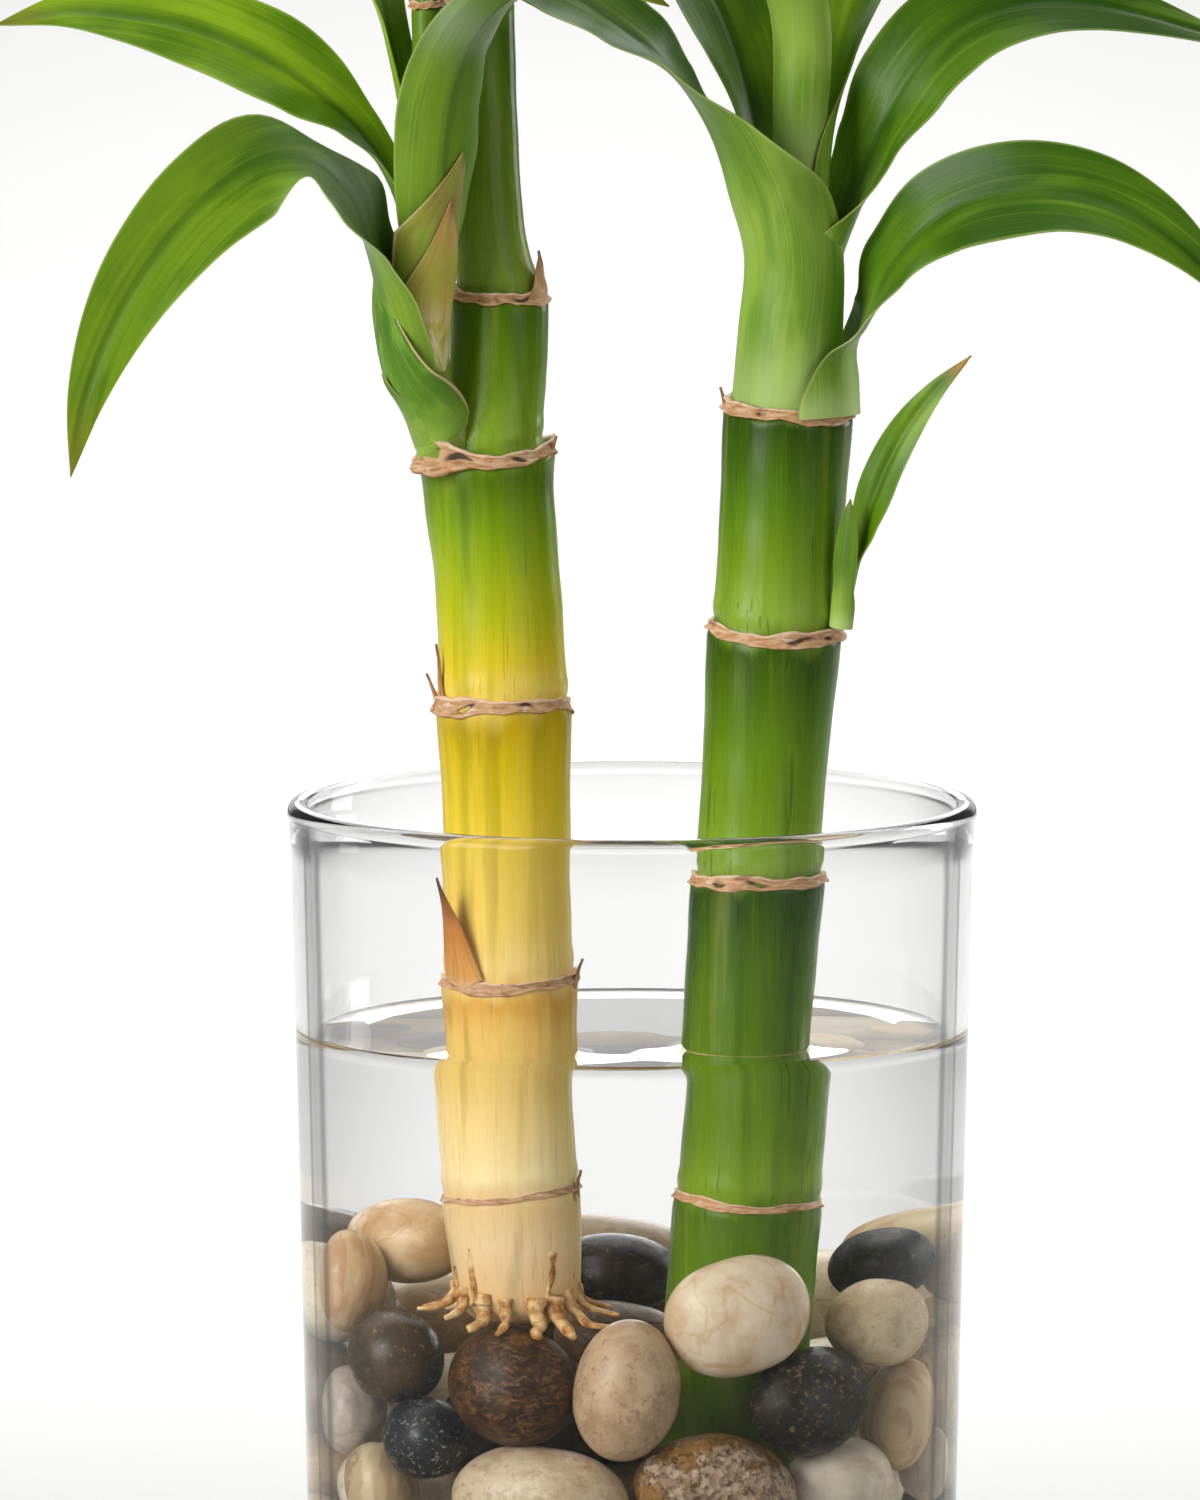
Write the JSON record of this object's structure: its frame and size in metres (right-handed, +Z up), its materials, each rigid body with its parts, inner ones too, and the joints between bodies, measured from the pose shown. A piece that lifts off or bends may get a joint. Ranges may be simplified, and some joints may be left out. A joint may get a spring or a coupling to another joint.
{
  "type": "lucky bamboo",
  "caption": "Rooted lucky bamboo stalks, yellow and green, with arching leaves, standing in water over polished pebbles in a clear cylindrical glass vase",
  "frame": {"origin": "the centre of the vase's foot, on the surface that it stands on", "axes": "+Z up along the vase and the stalks, -Y towards the front, +X to the right as seen from the front"},
  "size_m": [0.1882, 0.1267, 0.3055],
  "materials": {
    "glass": "clear, polished",
    "water": "clear, still surface",
    "yellow_cane": "waxy sheen, fine upright fibres",
    "green_cane": "waxy sheen, fine upright fibres",
    "leaf": "waxy satin, fine lengthwise veins",
    "white_pebble": "polished, faintly mottled",
    "cream_pebble": "polished, veined",
    "tan_pebble": "polished, faintly banded",
    "brown_pebble": "polished, speckled",
    "black_pebble": "polished, flecked",
    "rusty_pebble": "rough, pitted and crystalline",
    "mixed_pebbles": "polished, tones vary from stone to stone"
  },
  "bodies": {
    "root": {"vase": "glass", "water": "water", "cane_yellow": "yellow_cane", "cane_green": "green_cane", "green_leaf_low_right": "leaf", "green_leaf_left": "leaf", "green_leaf_right": "leaf", "green_leaf_back_left": "leaf", "green_leaf_back_right": "leaf", "green_leaf_top_front": "leaf", "green_leaf_top_back": "leaf", "green_leaf_top_right": "leaf", "green_shoot_leaf_long": "leaf", "green_shoot_leaf_short": "leaf", "side_leaf_drooping": "leaf", "side_leaf_high_left": "leaf", "side_leaf_front": "leaf", "side_leaf_upright": "leaf", "side_leaf_top": "leaf", "yellow_leaf_right": "leaf", "yellow_leaf_back_left": "leaf", "yellow_leaf_back_right": "leaf", "yellow_leaf_front": "leaf", "pebble_white_large": "white_pebble", "pebble_brown_speckled": "brown_pebble", "pebble_taupe": "tan_pebble", "pebble_charcoal": "black_pebble", "pebble_rusty": "rusty_pebble", "pebble_beige_large": "tan_pebble", "pebble_white_low": "white_pebble", "pebble_grey_brown": "brown_pebble", "pebble_black_small": "black_pebble", "pebble_banded": "tan_pebble", "pebble_pearl": "white_pebble", "pebble_cream_veined": "cream_pebble", "pebble_honey": "cream_pebble", "pebble_sand": "cream_pebble", "pebble_black_oval": "black_pebble", "pebble_tan_tall": "tan_pebble", "pebble_ivory_edge": "white_pebble", "pebble_slate_back": "brown_pebble", "pebble_cream_back": "cream_pebble", "pebble_black_middle": "black_pebble", "pebble_walnut_middle": "brown_pebble", "pebble_marbled_back": "cream_pebble", "pebble_rose_right": "tan_pebble", "pebbles_01": "mixed_pebbles", "pebbles_02": "mixed_pebbles", "pebbles_03": "mixed_pebbles", "pebbles_04": "mixed_pebbles", "pebbles_05": "mixed_pebbles", "pebbles_06": "mixed_pebbles", "pebbles_07": "mixed_pebbles", "pebbles_08": "mixed_pebbles", "pebbles_09": "mixed_pebbles", "pebbles_10": "mixed_pebbles", "pebbles_11": "mixed_pebbles", "pebbles_12": "mixed_pebbles"}
  },
  "joints": []
}
